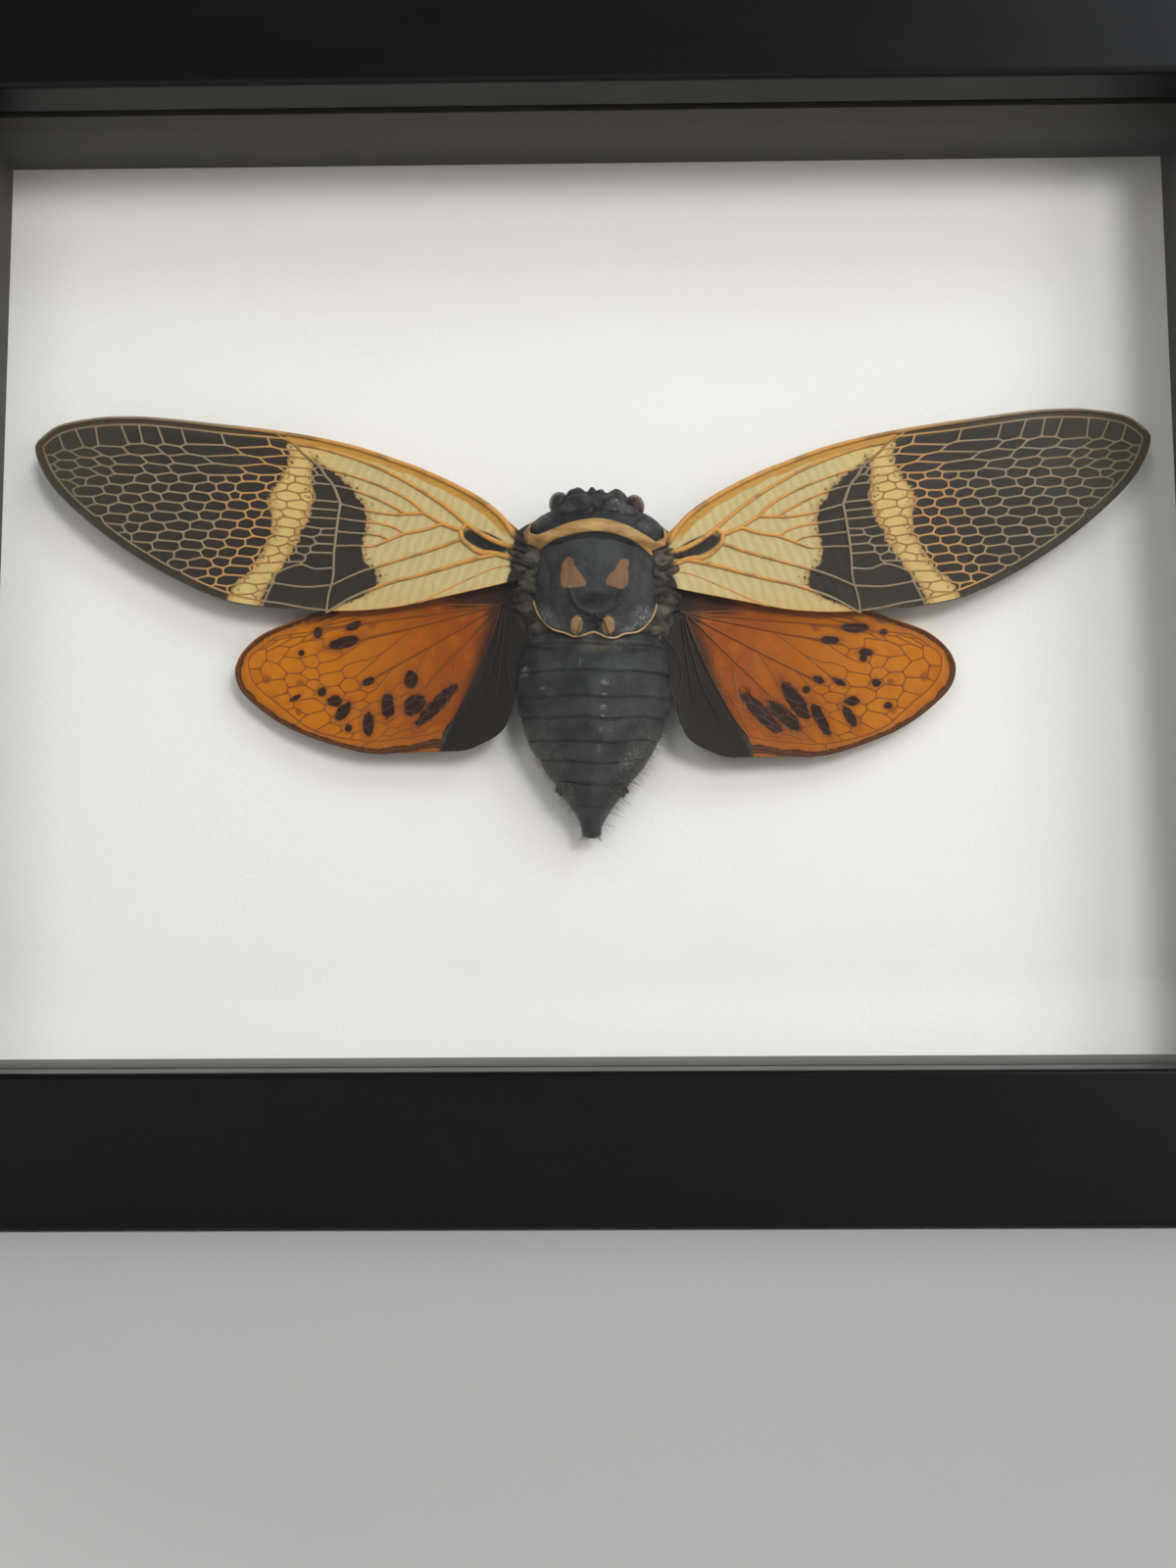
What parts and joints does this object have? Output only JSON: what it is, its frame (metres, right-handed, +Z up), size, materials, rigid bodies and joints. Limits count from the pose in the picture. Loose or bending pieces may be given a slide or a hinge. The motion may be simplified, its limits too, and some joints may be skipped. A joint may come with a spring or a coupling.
{
  "type": "framed cicada specimen",
  "caption": "Large cicada with dark, cream-banded forewings and spotted orange hindwings, spread on white card behind glass in a black box frame.",
  "frame": {"origin": "on the surface it stands on, under the middle of the frame's width and whole depth", "axes": "+Z up, +X to the right seen from the front, the glass faces -Y"},
  "size_m": [0.1524, 0.027, 0.1238],
  "materials": {
    "black_frame": "satin black paint",
    "spacer": "matt black",
    "clear_glass": "polished",
    "white_card": "smooth matt white",
    "board": "hardboard, smooth side out",
    "steel": "zinc plated",
    "insect": "dried insect: dull black shell, parchment-like wings"
  },
  "bodies": {
    "root": {"frame_bottom": "black_frame", "frame_right": "black_frame", "frame_top": "black_frame", "frame_left": "black_frame", "glass_pane": "clear_glass", "spacer_bottom": "spacer", "spacer_top": "spacer", "spacer_left": "spacer", "spacer_right": "spacer", "mount_card": "white_card", "back_board": "board", "point_bottom_1": "steel", "point_bottom_2": "steel", "point_top_1": "steel", "point_top_2": "steel", "point_left_1": "steel", "point_right_1": "steel", "sawtooth_hanger": "steel", "hanger_nail_1": "steel", "hanger_nail_2": "steel", "cicada": "insect"}
  },
  "joints": []
}
